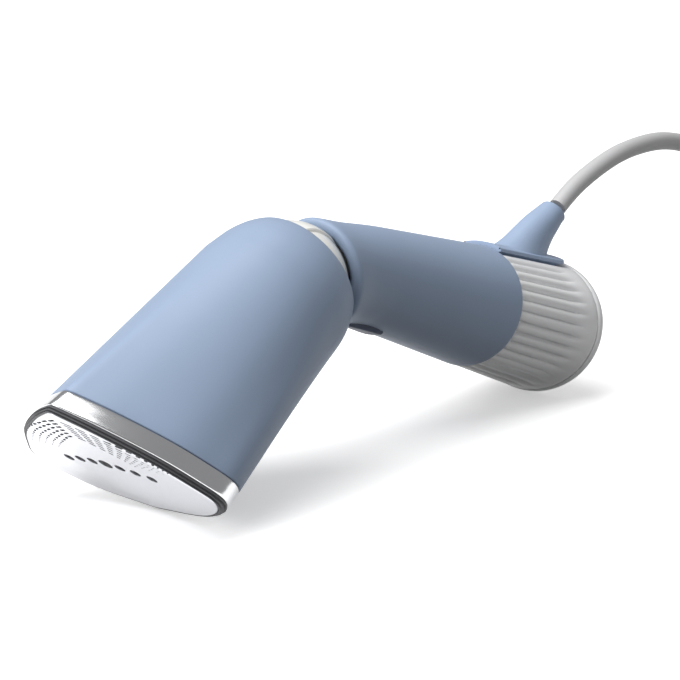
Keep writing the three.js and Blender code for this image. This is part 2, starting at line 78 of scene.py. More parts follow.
HEAD_UP = (ALONG * sin(HEAD_TURN) + OUTWARD * cos(HEAD_TURN)).normalized()
HEAD_HEEL = (ALONG * cos(HEAD_TURN) - OUTWARD * sin(HEAD_TURN)).normalized()
INTO_HEAD = HEAD_UP * cos(FACE_TILT) - HEAD_HEEL * sin(FACE_TILT)
TO_HEEL = HEAD_HEEL * cos(FACE_TILT) + HEAD_UP * sin(FACE_TILT)
FACE_POINT = FOLD_POINT - HEAD_UP * FACE_DEPTH * MM
HANDLE_ZERO = FOLD_POINT - (ALONG * JOINT_S + OUTWARD * JOINT_O) * MM


def on_handle(s, y, o):
    return HANDLE_ZERO + (ALONG * s + LATERAL * y + OUTWARD * o) * MM


def on_head(x, y, z):
    return FOLD_POINT + (HEAD_HEEL * x + LATERAL * y + HEAD_UP * z) * MM


def on_face(x, y, z):
    return FACE_POINT + (TO_HEEL * x + LATERAL * y + INTO_HEAD * z) * MM


# ---- Outlines, the same as the CAD's ---------------------------------------------------------
MOUTH_TURN = radians(23.5)
HANDLE_STATIONS = [
    # along, middle height, lean of the section, half height, half width
    (21.7, -3.3, MOUTH_TURN, 18.9, 18.9),
    (22.8, -3.1, radians(22.5), 19.3, 19.3),
    (25.5, -2.7, radians(20), 19.0, 19.0),
    (31.0, -1.9, radians(14), 17.9, 17.9),
    (38.0, -1.0, radians(7), 17.7, 17.7),
    (47.0, -0.1, 0.0, 17.95, 17.95),
    (111.0, 0.1, 0.0, 22.5, 24.4),
    (158.5, 0.1, 0.0, 25.4, 29.4),
]
SLEEVE_END = 111.0
TANK_END = 155.0
FOOT_END = 158.5
SADDLE_END = 154.4
SADDLE_HALF_TURN = radians(21)
DOME = [(7, 21.95), (5.6, 23.3), (3, 24.7), (0, 25.9), (-5, 27.2), (-14, 28.3)]
HALF_OUTLINE = [
    (-36, 0), (-34.8, 2.6), (-26.6, 14.4), (-12.5, 29.6), (0, 38.0), (9.5, 42.2),
    (18, 39.2), (25.5, 30.6), (30, 18.6), (33, 0),
]
BAND_FOOT = 2.8
BAND_TOP = 10.0
HOLE_PITCH = 6.16


def lerp(a, b, t):
    return a + (b - a) * t


def smooth_step(low, high, value):
    t = min(1.0, max(0.0, (value - low) / (high - low)))
    return t * t * (3 - 2 * t)


def spline(points, t):
    """A point of a Catmull-Rom curve through the points, t from 0 to 1."""
    last = len(points) - 1
    place = min(max(t, 0.0), 1.0) * last
    i = min(int(place), last - 1)
    u = place - i
    p1, p2 = points[i], points[i + 1]
    p0 = points[i - 1] if i else tuple(2 * a - b for a, b in zip(p1, p2))
    p3 = points[i + 2] if i + 2 <= last else tuple(2 * a - b for a, b in zip(p2, p1))
    return tuple(
        0.5 * (2 * b + (c - a) * u + (2 * a - 5 * b + 4 * c - d) * u * u
               + (3 * b - a - 3 * c + d) * u ** 3)
        for a, b, c, d in zip(p0, p1, p2, p3)
    )


def station(s):
    """Middle height, lean, half height and half width of the handle's section at s."""
    i = 0
    while i < len(HANDLE_STATIONS) - 2 and s > HANDLE_STATIONS[i + 1][0]:
        i += 1
    a, b = HANDLE_STATIONS[i], HANDLE_STATIONS[i + 1]
    t = (s - a[0]) / (b[0] - a[0])
    return [lerp(p, q, t) for p, q in zip(a[1:], b[1:])]


def soft_station(s):
    """The same with the neck's corners softened."""
    if s > 60 or s < 25:
        return station(s)
    near = [station(s + d) for d in (-3.0, -1.5, 0.0, 1.5, 3.0)]
    return [sum(row[k] for row in near) / len(near) for k in range(4)]


def handle_point(s, inset, turn):
    middle, lean, high, wide = soft_station(s)
    up = (high - inset) * cos(turn)
    across = (wide - inset) * sin(turn)
    return on_handle(s - up * sin(lean), across, middle + up * cos(lean))


def outline_table(count):
    """Points of the plate's outline at even steps, tip first, as (towards the heel, across)."""
    fine = [spline(HALF_OUTLINE, k / 400) for k in range(401)]
    run = [0.0]
    for a, b in zip(fine, fine[1:]):
        run.append(run[-1] + hypot(b[0] - a[0], b[1] - a[1]))
    half, k = [], 0
    for j in range(count // 2 + 1):
        want = run[-1] * j / (count // 2)
        while k < 399 and run[k + 1] < want:
            k += 1
        t = (want - run[k]) / (run[k + 1] - run[k])
        half.append((lerp(fine[k][0], fine[k + 1][0], t), lerp(fine[k][1], fine[k + 1][1], t)))
    return half + [(x, -y) for x, y in half[-2:0:-1]]


HEAD_SIDES = 144
OUTLINE = outline_table(HEAD_SIDES)


def round_head(z, radius, turn):
    return on_head(-radius * cos(turn), radius * sin(turn), z)


def flank_point(side, inset, plane=None, loft=None):
    """A point of the head's straight flank, at a height over the plate or a share of its length."""
    x, y = OUTLINE[side % HEAD_SIDES]
    foot = on_face(x, y, 0)
    turn = tau * side / HEAD_SIDES
    ruling = round_head(DOME[-1][0], DOME[-1][1], turn) - foot
    share = loft if plane is None else plane * MM / ruling.dot(INTO_HEAD)
    out_foot = (TO_HEEL * x + LATERAL * y).normalized()
    out_dome = (round_head(0, 1, turn) - FOLD_POINT).normalized()
    out = out_foot.lerp(out_dome, share).normalized()
    return foot + ruling * share - out * inset * MM


# ---- Modelling helpers -----------------------------------------------------------------------
def clear_selection():
    if bpy.context.object and bpy.context.object.mode != "OBJECT":
        bpy.ops.object.mode_set(mode="OBJECT")
    bpy.ops.object.select_all(action="DESELECT")


def edit(obj, *steps):
    """Runs edit-mode steps on one object with all of it selected."""
    clear_selection()
    obj.select_set(True)
    bpy.context.view_layer.objects.active = obj
    bpy.ops.object.mode_set(mode="EDIT")
    bpy.ops.mesh.select_all(action="SELECT")
    for step in steps:
        step()
    bpy.ops.object.mode_set(mode="OBJECT")


def weld():
    bpy.ops.mesh.remove_doubles(threshold=1e-6)


def face_out():
    bpy.ops.mesh.normals_make_consistent(inside=False)


def lofted(name, rows, sides, point, fill=False):
    """A grid rolled into a tube: point(row, side) gives each of its vertices."""
    clear_selection()
    bpy.ops.mesh.primitive_grid_add(x_subdivisions=sides, y_subdivisions=rows - 1, size=0.01)
    obj = bpy.context.object
    obj.name = obj.data.name = name
    for k, v in enumerate(obj.data.vertices):
        v.co = point(k // (sides + 1), k % (sides + 1))
    edit(obj, weld)
    if fill:
        edit(obj, lambda: bpy.ops.mesh.select_all(action="DESELECT"), select_open_edges,
             bpy.ops.mesh.edge_face_add)
    edit(obj, face_out)
    return obj


def select_open_edges():
    bpy.ops.mesh.select_mode(type="EDGE")
    bpy.ops.mesh.select_non_manifold(extend=False)


def at_origin(obj):
    clear_selection()
    obj.select_set(True)
    bpy.context.view_layer.objects.active = obj
    bpy.ops.object.transform_apply(location=True, rotation=True, scale=True)


def apply(obj, kind, **settings):
    clear_selection()
    obj.select_set(True)
    bpy.context.view_layer.objects.active = obj
    modifier = obj.modifiers.new(kind.title(), kind)
    for key, value in settings.items():
        setattr(modifier, key, value)
    bpy.ops.object.modifier_apply(modifier=modifier.name)


def solidify(obj, thickness):
    apply(obj, "SOLIDIFY", thickness=thickness * MM, offset=-1.0, use_even_offset=True)


def bevel(obj, width, segments=3, angle=40):
    apply(obj, "BEVEL", width=width * MM, segments=segments, limit_method="ANGLE",
          angle_limit=radians(angle), harden_normals=False)


def smooth(obj, angle=38):
    clear_selection()
    obj.select_set(True)
    bpy.context.view_layer.objects.active = obj
    bpy.ops.object.shade_smooth_by_angle(angle=radians(angle))


def join(objects, name):
    clear_selection()
    for obj in objects:
        obj.select_set(True)
    bpy.context.view_layer.objects.active = objects[0]
    if len(objects) > 1:
        bpy.ops.object.join()
    objects[0].name = objects[0].data.name = name
    return objects[0]


def cut(obj, cutters):
    """Takes the joined cutters out of the object."""
    tool = join(cutters, obj.name + "_cutter")
    edit(tool, face_out)
    apply(obj, "BOOLEAN", operation="DIFFERENCE", object=tool, solver="EXACT")
    bpy.data.objects.remove(tool, do_unlink=True)


def placed(x_way, y_way, z_way, point):
    """A matrix whose columns are the three ways and the point."""
    matrix = Matrix((x_way, y_way, z_way)).transposed().to_4x4()
    matrix.translation = point
    return matrix


FACE_MATRIX = (TO_HEEL, LATERAL, INTO_HEAD)
HANDLE_MATRIX = (ALONG, LATERAL, OUTWARD)


def rounded_block(name, size, ways, point, radius, segments=5):
    clear_selection()
    bpy.ops.mesh.primitive_cube_add(size=1)
    obj = bpy.context.object
    obj.name = obj.data.name = name
    obj.scale = [v * MM for v in size]
    at_origin(obj)
    bevel(obj, radius, segments, 30)
    obj.matrix_world = placed(*ways, point)
    at_origin(obj)
    return obj


def drum(name, radius, depth, ways, point, sides=64, end_radius=None):
    """A cylinder or a cone along the third way."""
    clear_selection()
    bpy.ops.mesh.primitive_cone_add(vertices=sides, radius1=radius * MM, depth=depth * MM,
                                    radius2=(radius if end_radius is None else end_radius) * MM)
    obj = bpy.context.object
    obj.name = obj.data.name = name
    obj.matrix_world = placed(*ways, point)
    at_origin(obj)
    return obj


def finish_piece(obj, body, material, nodes=(), angle=38):
    obj.data.materials.clear()
    obj.data.materials.append(material)
    if obj.type == "MESH":
        smooth(obj, angle)
    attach(obj, body)
    if nodes:
        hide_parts(*nodes)
    return obj


# ---- Materials -------------------------------------------------------------------------------
def linear(value):
    value /= 255
    return value / 12.92 if value <= 0.04045 else ((value + 0.055) / 1.055) ** 2.4


def rgb(red, green, blue):
    return (linear(red), linear(green), linear(blue), 1.0)


def shader(name, colour, roughness, metallic=0.0, grain=900.0, bump=0.05, stretch=(1, 1, 1),
           mottle=0.05, wear=0.15, coat=0.0, scatter=0.0, spread=0.12, sheen=0.5):
    """Colour that drifts a little, roughness that varies, a fine grain and slightly worn edges."""
    material = bpy.data.materials.new(name)
    material.use_nodes = True
    nodes, links = material.node_tree.nodes, material.node_tree.links
    principled = nodes["Principled BSDF"]
    principled.inputs["Metallic"].default_value = metallic
    principled.inputs["Coat Weight"].default_value = coat
    principled.inputs["Specular IOR Level"].default_value = sheen
    principled.inputs["Coat Roughness"].default_value = 0.15
    principled.inputs["Subsurface Weight"].default_value = scatter
    principled.inputs["Subsurface Radius"].default_value = (0.01, 0.01, 0.01)
    principled.inputs["Subsurface Scale"].default_value = 0.4
    coords = nodes.new("ShaderNodeTexCoord")
    scale = nodes.new("ShaderNodeMapping")
    scale.inputs["Scale"].default_value = stretch
    links.new(coords.outputs["Object"], scale.inputs["Vector"])

    drift = nodes.new("ShaderNodeTexNoise")
    drift.inputs["Scale"].default_value = 28.0
    drift.inputs["Detail"].default_value = 3.0
    links.new(coords.outputs["Object"], drift.inputs["Vector"])
    tint = nodes.new("ShaderNodeMix")
    tint.data_type = "RGBA"
    tint.inputs["A"].default_value = [c * (1 - mottle) for c in colour[:3]] + [1]
    tint.inputs["B"].default_value = [min(1, c * (1 + mottle)) for c in colour[:3]] + [1]
    links.new(drift.outputs["Fac"], tint.inputs["Factor"])

    edges = nodes.new("ShaderNodeNewGeometry")
    worn = nodes.new("ShaderNodeMapRange")
    worn.inputs["From Min"].default_value = 0.52
    worn.inputs["From Max"].default_value = 0.62
    worn.inputs["To Max"].default_value = wear
    links.new(edges.outputs["Pointiness"], worn.inputs["Value"])
    rub = nodes.new("ShaderNodeMix")
    rub.data_type = "RGBA"
    rub.inputs["B"].default_value = [min(1, c * 1.35 + 0.04) for c in colour[:3]] + [1]
    links.new(worn.outputs["Result"], rub.inputs["Factor"])
    links.new(tint.outputs["Result"], rub.inputs["A"])
    links.new(rub.outputs["Result"], principled.inputs["Base Color"])

    fine = nodes.new("ShaderNodeTexNoise")
    fine.inputs["Scale"].default_value = grain
    fine.inputs["Detail"].default_value = 4.0
    links.new(scale.outputs["Vector"], fine.inputs["Vector"])
    gloss = nodes.new("ShaderNodeMapRange")
    gloss.inputs["To Min"].default_value = roughness * (1 - spread)
    gloss.inputs["To Max"].default_value = roughness * (1 + spread)
    links.new(fine.outputs["Fac"], gloss.inputs["Value"])
    links.new(gloss.outputs["Result"], principled.inputs["Roughness"])
    raised = nodes.new("ShaderNodeBump")
    raised.inputs["Strength"].default_value = bump
    raised.inputs["Distance"].default_value = 0.0002
    links.new(fine.outputs["Fac"], raised.inputs["Height"])
    links.new(raised.outputs["Normal"], principled.inputs["Normal"])
    return material


def make_materials(look):
    shell = (*look.shell_colour, 1.0)
    spur = tuple(min(1.0, c * 1.12) for c in look.shell_colour) + (1.0,)
    tank = (*look.tank_colour, 1.0)
    return {
        "shell": shader("satin_blue", shell, 0.46, grain=1500, bump=0.12, sheen=0.28),
        "spur": shader("satin_blue_spur", spur, 0.47, grain=1500, bump=0.12, sheen=0.28),
        "pearl": shader("pearl_plastic", rgb(242, 242, 238), 0.22, grain=700, bump=0.03, coat=0.3),
        "band": shader("bright_band", rgb(214, 215, 217), 0.2, 1.0, grain=260, bump=0.03,
                       stretch=(1, 1, 22), mottle=0.03),
        "plate": shader("steam_plate_metal", rgb(205, 206, 210), 0.3, 1.0, grain=420, bump=0.05,
                        stretch=(1, 14, 1), mottle=0.03),
        "casting": shader("raw_casting", rgb(132, 134, 138), 0.62, 1.0, grain=500, bump=0.4),
        "gasket": shader("gasket_rubber", rgb(70, 71, 74), 0.55, grain=1100, bump=0.15, wear=0.5),
        "dark": shader("dark_moulding", rgb(34, 36, 40), 0.55, grain=1200, bump=0.15),
        "trigger": shader("trigger_navy", rgb(38, 50, 72), 0.5, grain=1400, bump=0.1, sheen=0.2),
        "tank": shader("milky_tank", tank, 0.3, grain=800, bump=0.04, coat=0.15, scatter=0.25),
        "white": shader("inner_moulding", rgb(206, 206, 200), 0.5, grain=900, bump=0.1),
        "brass": shader("brass", rgb(186, 154, 90), 0.32, 1.0, grain=600, bump=0.1),
        "steel": shader("steel", rgb(160, 163, 168), 0.3, 1.0, grain=600, bump=0.1),
        "board": shader("circuit_board", rgb(38, 92, 60), 0.5, grain=500, bump=0.2),
        "cord": shader("cord_sheath", rgb(186, 186, 187), 0.5, grain=1300, bump=0.2, mottle=0.04),
    }


SLOT_LOOKS = {
    "shell_blue": "shell", "shell_blue_spur": "spur", "pearl": "pearl", "band": "band",
    "plate": "plate", "casting": "casting", "graphite": "dark", "navy": "trigger",
    "tank_body": "tank", "tank_end": "tank", "seal": "gasket", "white": "white",
    "brass": "brass", "steel": "steel", "board": "board", "cord_sheath": "cord", "plug": "cord",
}
MATERIALS = {}


# ---- Settings --------------------------------------------------------------------------------
class SteamerLook(bpy.types.PropertyGroup):
    """Colours and small sizes of the steamer."""

    shell_colour: FloatVectorProperty(
        name="Shell colour", description="Pale blue of the head and the handle", subtype="COLOR",
        size=3, min=0, max=1, default=(0.275, 0.35, 0.48))
    tank_colour: FloatVectorProperty(
        name="Tank colour", description="Milky grey of the water tank", subtype="COLOR",
        size=3, min=0, max=1, default=(0.80, 0.805, 0.815))
    rib_count: IntProperty(
        name="Ribs", description="Ribs round the water tank", default=34, min=8, max=80)
    rib_depth: FloatProperty(
        name="Rib depth", description="Depth of the valleys between the ribs",
        default=0.0012, unit="LENGTH")
    cord_diameter: FloatProperty(
        name="Cord diameter", description="Outside diameter of the mains cord",
        default=0.007, unit="LENGTH")


class StageLook(bpy.types.PropertyGroup):
    """Light and view."""

    key_power: FloatProperty(
        name="Key light", description="Power of the large light", default=30.0, unit="POWER")
    fill_power: FloatProperty(
        name="Fill light", description="Power of the light from the left",
            default=12.0, unit="POWER")
    floor_colour: FloatVectorProperty(
        name="Floor colour", description="Colour of the paper floor", subtype="COLOR",
        size=3, min=0, max=1, default=(0.93, 0.93, 0.93))
    eye_distance: FloatProperty(
        name="Eye distance", description="From the handle's zero to the camera",
        default=1.033, unit="LENGTH")
    focal_length: FloatProperty(
        name="Focal length", description="Lens of the camera in millimetres", default=162.4)


# ---- Stage -----------------------------------------------------------------------------------
EYE_RIGHT = (0.6031, 0.2252, 0.7652)  # picture right, as along, outward and nearer side
EYE_UP = (-0.1523, 0.9742, -0.1666)
EYE_BACK = (-0.7830, -0.0161, 0.6218)
EYE_OFFSET = (20.29, -29.57)  # where the camera's axis passes the handle's zero


def handle_way(parts):
    return ALONG * parts[0] + OUTWARD * parts[1] - LATERAL * parts[2]


def area_light(name, place, target, size, power, colour=(1, 1, 1)):
    clear_selection()
    bpy.ops.object.light_add(type="AREA", location=place)
    light = bpy.context.object
    light.name = name
    light.data.shape = "RECTANGLE"
    light.data.size, light.data.size_y = size
    light.data.energy = power
    light.data.color = colour
    light.rotation_euler = (Vector(target) - Vector(place)).to_track_quat("-Z", "Y").to_euler()
    return light


class STEAMER_OT_stage(bpy.types.Operator):
    """Makes the floor, the lights and the camera"""

    bl_idname = "steamer.stage"
    bl_label = "Make the stage"

    def execute(self, context):
        look = context.scene.steamer_stage
        clear_selection()
        bpy.ops.mesh.primitive_plane_add(size=12, location=(0, 0, -0.0002))
        floor = context.object
        floor.name = "paper_floor"
        paper = self.paper(look.floor_colour)
        floor.data.materials.append(paper)

        right, up, back = (handle_way(v).normalized() for v in (EYE_RIGHT, EYE_UP, EYE_BACK))
        place = (HANDLE_ZERO + (right * EYE_OFFSET[0] + up * EYE_OFFSET[1]) * MM
                 + back * look.eye_distance)
        bpy.ops.object.camera_add()
        camera = context.object
        camera.name = "camera"
        camera.matrix_world = placed(right, up, back, place)
        camera.data.lens = look.focal_length
        camera.data.sensor_width = 36
        camera.data.clip_start = 0.05
        context.scene.camera = camera

        world = bpy.data.worlds.new("studio")
        world.use_nodes = True
        world.node_tree.nodes["Background"].inputs["Color"].default_value = (1, 1, 1, 1)
        world.node_tree.nodes["Background"].inputs["Strength"].default_value = 0.34
        context.scene.world = world
        middle = (0, 0, 0.05)
        area_light("key", (-0.45, 0.30, 1.5), middle, (1.5, 1.5), look.key_power)
        area_light("left_fill", (-1.5, 0.25, 0.6), middle, (0.9, 1.2), look.fill_power)
        context.scene.view_settings.view_transform = "Standard"
        return {"FINISHED"}

    def paper(self, colour):
        """White to the eye and in reflections, but a weaker bounce onto the steamer."""
        material = shader("paper", (*colour, 1.0), 0.9, grain=60, bump=0.02, mottle=0.004, wear=0)
        nodes, links = material.node_tree.nodes, material.node_tree.links
        path = nodes.new("ShaderNodeLightPath")
        grey = nodes.new("ShaderNodeBsdfDiffuse")
        grey.inputs["Color"].default_value = (0.13, 0.13, 0.13, 1)
        glow = nodes.new("ShaderNodeEmission")
        glow.inputs["Strength"].default_value = 0.42
        lit = nodes.new("ShaderNodeAddShader")
        mix = nodes.new("ShaderNodeMixShader")
        links.new(nodes["Principled BSDF"].outputs[0], lit.inputs[0])
        links.new(glow.outputs[0], lit.inputs[1])
        links.new(path.outputs["Is Diffuse Ray"], mix.inputs[0])
        links.new(lit.outputs[0], mix.inputs[1])
        links.new(grey.outputs[0], mix.inputs[2])
        links.new(mix.outputs[0], nodes["Material Output"].inputs["Surface"])
        return material


# ---- Cord ------------------------------------------------------------------------------------
CORD_ROUTE = [
    (0.1345, 0, 0.0674), (0.1397, 0, 0.0707), (0.1450, 0, 0.0736), (0.1510, 0, 0.0760),
    (0.1572, 0, 0.0782), (0.1650, 0, 0.0805), (0.1727, 0, 0.0823), (0.1818, 0, 0.0834),
    (0.1908, 0, 0.0838), (0.1974, 0, 0.0837), (0.2040, 0, 0.0832), (0.2140, -0.0004, 0.0814),
    (0.2250, -0.0012, 0.0780), (0.2360, -0.0026, 0.0724), (0.2465, -0.0048, 0.0648),
    (0.2565, -0.0078, 0.0550), (0.2660, -0.0114, 0.0438), (0.2750, -0.0152, 0.0322),
    (0.2840, -0.0188, 0.0212), (0.2940, -0.0222, 0.0122), (0.3060, -0.0248, 0.0064),
    (0.3190, -0.0250, 0.0042),
]
COIL_PLACE = Vector((0.345, 0.016, 0))
COIL_RADII = (0.0418, 0.0348)  # the outer and the inner column of turns
COIL_STEPS = 20
CROSSINGS = (0.85, 0.70, 0.55, 0.40)  # upper turns move first and free the place below
COIL_POINTS = 4 * COIL_STEPS + 12  # the last turn stops where its way is away from the handle


def coil_points(thick):
    """Four full turns, two to a layer, and part of a fifth on top of them.

    Where the fifth ends, it lies across the turn beside it.
    """
    points = []
    height = thick / 2 + 0.0002
    start = -pi / 2 - 0.28
    columns = [0, 1, 1, 0, 1, 1]
    layers = [0, 0, 1, 1, 2, 2]
    for k in range(COIL_POINTS):
        turn, share = divmod(k, COIL_STEPS)
        share /= COIL_STEPS
        after = min(turn + 1, 5)
        begin = CROSSINGS[min(turn, 3)]
        climb = smooth_step(begin, begin + 0.15, share)
        late = 0.15 if turn == 3 else 0.0
        shift = smooth_step(begin + late, begin + late + 0.15, share)
        radius = lerp(COIL_RADII[columns[turn]], COIL_RADII[columns[after]], shift)
        level = lerp(layers[turn], layers[after], climb)
        angle = start + tau * (turn + share)
        points.append(COIL_PLACE + Vector((radius * cos(angle), radius * sin(angle),
                                           height + level * thick * 0.97)))
    return points


def plug_lead(last, tail):
    """A half turn from the inside of the coil, heading away from the handle into the plug."""
    middle_y = (last.y + tail.y) / 2
    radius = (last.y - tail.y) / 2
    points = []
    for k in range(1, 9):
        turn = pi / 2 + pi * k / 8
        x = tail.x - 0.001 + radius * cos(turn)
        drop = smooth_step(0.72, 1.0, k / 8)
        z = lerp(last.z + 0.0005, tail.z, drop)
        points.append(Vector((x, middle_y + radius * sin(turn), z)))
    points.append(tail + Vector((0.002, 0, 0)))
    return points


class STEAMER_OT_cord(bpy.types.Operator):
    """Makes the mains cord with its coil, tie and plug"""

    bl_idname = "steamer.cord"
    bl_label = "Make the cord"

    def execute(self, context):
        look = context.scene.steamer_look
        thick = look.cord_diameter
        low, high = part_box("plug_body")
        plug_middle = (Vector(low) + Vector(high)) / 2
        tail = Vector((low[0], plug_middle[1], plug_middle[2]))
        points = [Vector(p) for p in CORD_ROUTE] + coil_points(thick)
        points += plug_lead(points[-1], tail)
        clear_selection()
        bpy.ops.curve.primitive_nurbs_path_add()
        cord = context.object
        cord.name = cord.data.name = "mains_cord"
        cord.data.splines.clear()
        line = cord.data.splines.new("NURBS")
        line.points.add(len(points) - 1)
        for spot, p in zip(line.points, points):
            spot.co = (*p, 1)
        line.order_u = 4
        line.use_endpoint_u = True
        cord.data.dimensions = "3D"
        cord.data.resolution_u = 5
        cord.data.bevel_depth = thick / 2
        cord.data.bevel_resolution = 5
        cord.data.use_fill_caps = True
        finish_piece(cord, "handle", MATERIALS["cord"], ["cord_run", "cord_coil"])

        plug = self.plug(plug_middle, high[0] - low[0])
        tie = self.tie()
        return {"FINISHED"}

    def plug(self, middle, length):
        rows = [
            # along from the tail, half width, half height
            (0.0, 3.9, 3.9), (0.4, 4.6, 4.6), (3.6, 5.4, 5.4), (4.4, 6.6, 6.2), (7.5, 10.4, 8.8),
            (10.0, 12.0, 11.2), (13.0, 12.3, 12.1), (24.0, 12.4, 12.3), (27.0, 12.3, 12.2),
            (27.8, 11.6, 11.5), (28.0, 10.6, 10.5),
        ]
        start = middle - Vector((length / 2, 0, 0))

        def point(row, side):
            along, wide, high = spline(rows, row / 40)
            turn = tau * side / 48
            grip = 0.35 * max(0.0, sin(along * 1.9)) if 14 < along < 24 else 0.0
            across = ((wide - grip) * cos(turn), (high - grip) * sin(turn))
            return start + Vector((along, *across)) * MM

        plug = lofted("plug_moulding", 41, 48, point, fill=True)
        return finish_piece(plug, "handle", MATERIALS["cord"], ["plug_body"])

    def tie(self):
        low, high = (Vector(v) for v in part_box("cord_tie"))
        middle = (low + high) / 2
        half = (high - low) / 2

        def point(row, side):
            turn = tau * side / 64
            section = tau * row / 12
            thick = 0.0006 * cos(section)
            ring = Vector((0, abs(cos(turn)) ** 0.5 * (1 if cos(turn) > 0 else -1),
                           abs(sin(turn)) ** 0.5 * (1 if sin(turn) > 0 else -1)))
            place = Vector((half[0] * 0.9 * sin(section), ring[1] * (half[1] - 0.0008 + thick),
                            ring[2] * (half[2] - 0.0008 + thick)))
            return middle + place

        tie = lofted("cord_strap", 13, 64, point)
        return finish_piece(tie, "handle", MATERIALS["dark"], ["cord_tie"])


# ---- Head ------------------------------------------------------------------------------------
class STEAMER_OT_head(bpy.types.Operator):
    """Makes the flared head shell"""

    bl_idname = "steamer.head"
    bl_label = "Make the head shell"

    def execute(self, context):
        dome_rows, flank_rows = 26, 16
        rows = dome_rows + flank_rows

        def point(row, side):
            if row < dome_rows:
                z, radius = spline(DOME, row / (dome_rows - 1))
                return round_head(z, radius, tau * side / HEAD_SIDES)
            share = (row - dome_rows + 1) / flank_rows
            full = flank_point(side, 0, loft=1.0)
            end = flank_point(side, 0, plane=BAND_TOP + GAP)
            return full.lerp(end, share)

        shell = lofted("head_cover", rows, HEAD_SIDES, point)
        solidify(shell, 1.3)
        bevel(shell, 0.35, 3, 50)
        finish_piece(shell, "head", MATERIALS["shell"], ["head_shell"], angle=45)
        return {"FINISHED"}


class STEAMER_OT_band(bpy.types.Operator):
    """Makes the bright band round the head's foot"""

    bl_idname = "steamer.band"
    bl_label = "Make the band"

    def execute(self, context):
        rows = [
            (BAND_TOP - 0.05, 2.0), (BAND_TOP, 0.7), (BAND_TOP - 0.1, 0.3), (BAND_TOP - 0.35, 0.08),
            (BAND_TOP - 0.8, 0.0), (7.6, 0.0), (5.4, 0.0), (BAND_FOOT + 0.9, 0.0),
            (BAND_FOOT + 0.4, 0.08), (BAND_FOOT + 0.1, 0.3), (BAND_FOOT, 0.65), (BAND_FOOT, 2.4),
        ]

        def point(row, side):
            plane, inset = rows[row]
            return flank_point(side, inset, plane=plane)

        band = lofted("bright_band", len(rows), HEAD_SIDES, point)
        finish_piece(band, "head", MATERIALS["band"], ["trim_band"], angle=60)
        return {"FINISHED"}


class STEAMER_OT_gasket(bpy.types.Operator):
    """Makes the stepped gasket between the band and the plate"""

    bl_idname = "steamer.gasket"
    bl_label = "Make the gasket"

    def execute(self, context):
        rows = [
            (2.75, 3.4), (2.75, 0.7), (2.6, 0.45), (2.1, 0.35), (1.95, 0.5), (1.9, 1.1),
            (1.55, 1.15), (1.5, 0.95), (1.1, 0.85), (1.0, 1.05), (0.98, 1.7), (0.7, 1.75),
            (0.6, 1.65), (0.35, 1.75), (0.3, 2.0), (0.5, 2.45), (0.9, 2.5),
        ]

        def point(row, side):
            plane, inset = rows[row]
            return flank_point(side, inset, plane=plane)

        gasket = lofted("stepped_gasket", len(rows), HEAD_SIDES, point)
        finish_piece(gasket, "head", MATERIALS["gasket"], ["plate_gasket"], angle=30)
        return {"FINISHED"}


def slot_rows():
    """Places of the short slots: rows that follow the plate's two front flanks and thin out."""
    outer = [(-28.7, 1.2), (-25.6, 8.0), (-16.2, 22.4), (-4.4, 33.0)]
    inner = [(-18.3, 1.2), (-17.2, 3.6), (-9.7, 12.6), (-5.4, 17.0)]
    slots = []
    for row in range(6):
        t = row / 5
        path = [tuple(lerp(a, b, t) for a, b in zip(p, q)) for p, q in zip(outer, inner)]
        fine = [spline(path, k / 160) for k in range(161)]
        length, nxt, count = 0.0, 0.0, 0
        for a, b in zip(fine, fine[1:]):
            if length >= nxt:
                dash = max(0.7, 4.4 - 0.42 * count - 0.25 * row)
                heading = Vector((b[0] - a[0], b[1] - a[1])).normalized()
                middle = Vector(a) + heading * dash / 2
                slots.append((middle, heading, dash, max(0.5, 0.95 - 0.04 * count)))
                nxt = length + dash + 0.95
                count += 1
            length += hypot(b[0] - a[0], b[1] - a[1])
    return slots


class STEAMER_OT_plate(bpy.types.Operator):
    """Makes the steam plate with its holes and slots"""

    bl_idname = "steamer.plate"
    bl_label = "Make the steam plate"

    def execute(self, context):
        rows = [(1.55, 3.6), (1.5, 2.7), (0.7, 2.6), (0.35, 2.68), (0.12, 2.9), (0.0, 3.3)]

        def point(row, side):
            plane, inset = rows[row]
            x, y = OUTLINE[side % HEAD_SIDES]
            size = hypot(x, y)
            keep = (size - inset) / size
            return on_face(x * keep, y * keep, plane)

        plate = lofted("steam_plate_face", len(rows), HEAD_SIDES, point, fill=True)
        cutters = []
        for i in range(-3, 4):
            y = i * HOLE_PITCH
            radius = 1.98 if i else 2.6
            x = 0.008 * y * y
            cutters.append(drum("hole", radius, 6, FACE_MATRIX, on_face(x, y, 0), 40))
            cutters.append(drum("rim", radius + 1.05, 0.9, FACE_MATRIX, on_face(x, y, 0), 40,
                                radius - 0.2))
        for middle, heading, dash, wide in slot_rows():
            for side in (1, -1):
                way = TO_HEEL * heading[0] + LATERAL * heading[1] * side
                across = INTO_HEAD.cross(way)
                cutters.append(rounded_block(
                    "slot", (dash, wide, 4), (way, across, INTO_HEAD),
                    on_face(middle[0], middle[1] * side, 0), wide * 0.45, 1))
        cut(plate, cutters)
        finish_piece(plate, "head", MATERIALS["plate"], ["steam_plate"], angle=35)
        self.painted_shade_backing()
        return {"FINISHED"}

    def painted_shade_backing(self):
        """A dark web of painted shade behind the plate, so that its holes look into a dark chamber.
        """
        def point(row, side):
            x, y = OUTLINE[side % HEAD_SIDES]
            keep = (0.9, 0.55, 0.2)[row]
            return on_face(x * keep, y * keep, 1.75)

        web = lofted("painted_shade_web", 3, HEAD_SIDES, point, fill=True)
        # Painted shade: the dark moulding's colour stands in for the shadow behind the holes.
        finish_piece(web, "head", MATERIALS["dark"])


